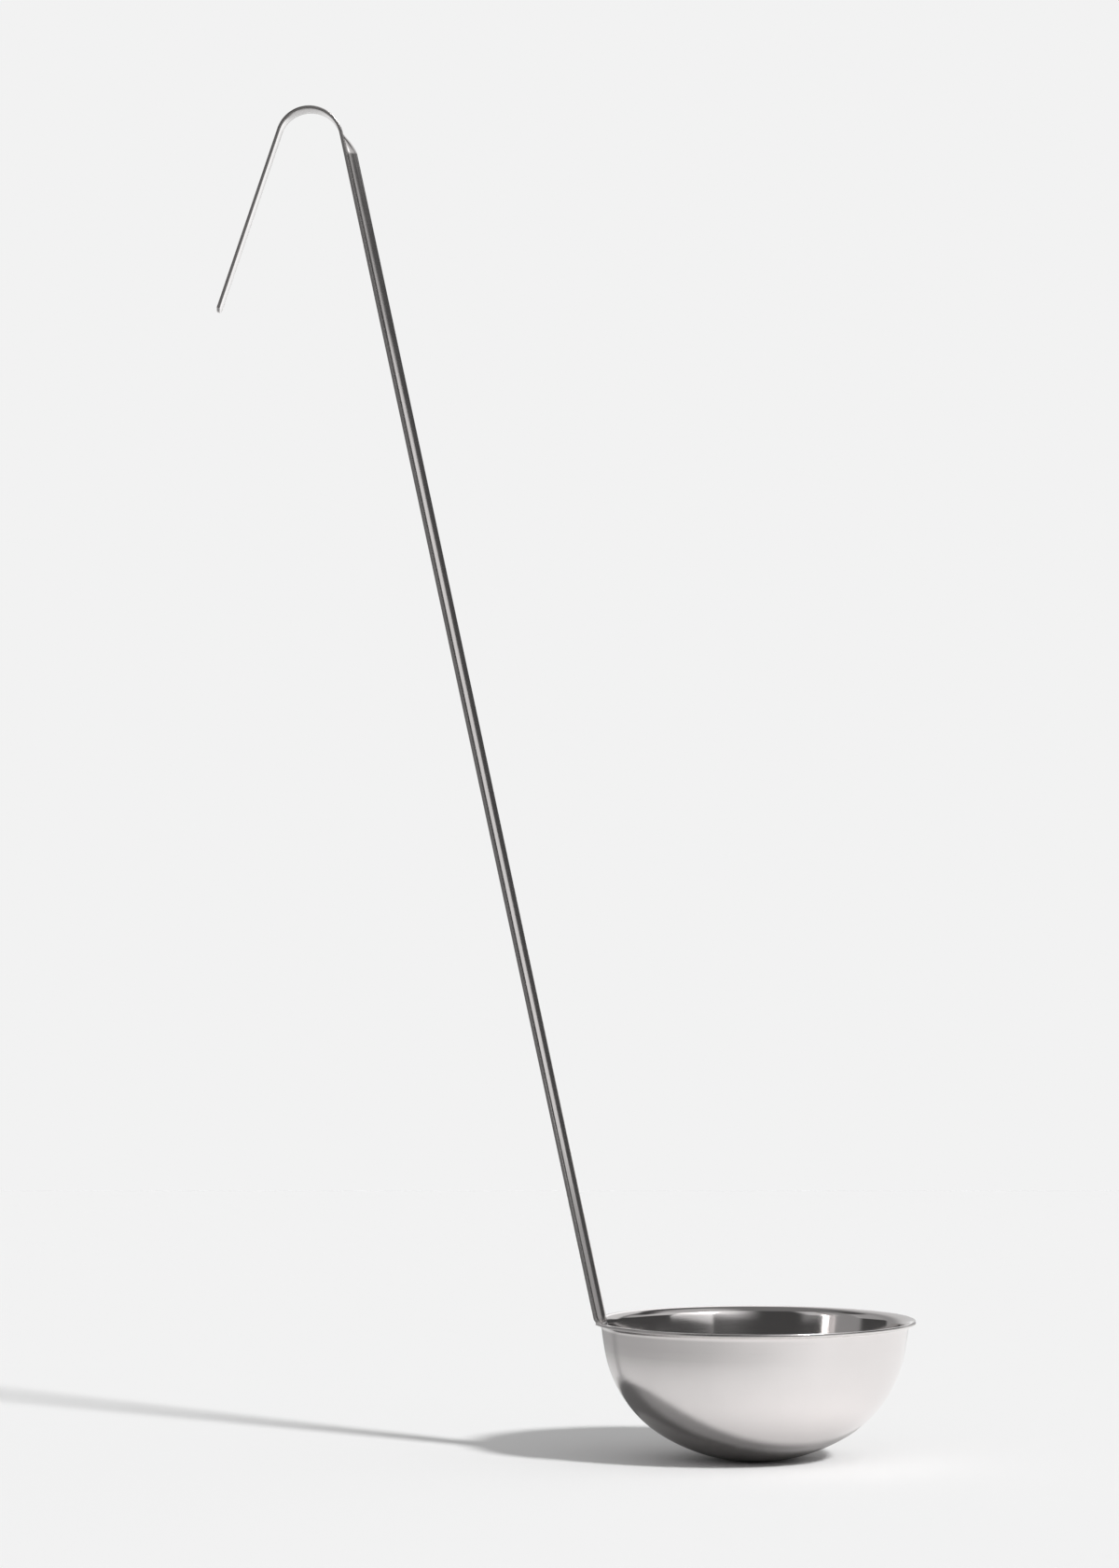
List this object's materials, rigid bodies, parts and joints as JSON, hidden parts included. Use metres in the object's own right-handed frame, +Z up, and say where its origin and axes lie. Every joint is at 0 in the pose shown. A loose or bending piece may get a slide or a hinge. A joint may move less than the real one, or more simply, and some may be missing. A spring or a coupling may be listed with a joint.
{
  "type": "soup ladle",
  "caption": "Stainless soup ladle: round pressed bowl with a turned-out lip, welded to a long ribbed strip handle that bends over into a hanging hook.",
  "frame": {"origin": "centre of the small flat under the bowl", "axes": "+Z up, out of the bowl's mouth; -X towards the side that carries the handle; the ladle is symmetric about the XZ plane"},
  "size_m": [0.2173, 0.1, 0.4201],
  "materials": {
    "bowl_steel": "polished inside, satin outside",
    "handle_steel": "bright rolled sheet",
    "weld_steel": "ground flush and polished"
  },
  "bodies": {
    "root": {"bowl": "bowl_steel", "handle": "handle_steel", "weld_seam": "weld_steel"}
  },
  "joints": []
}
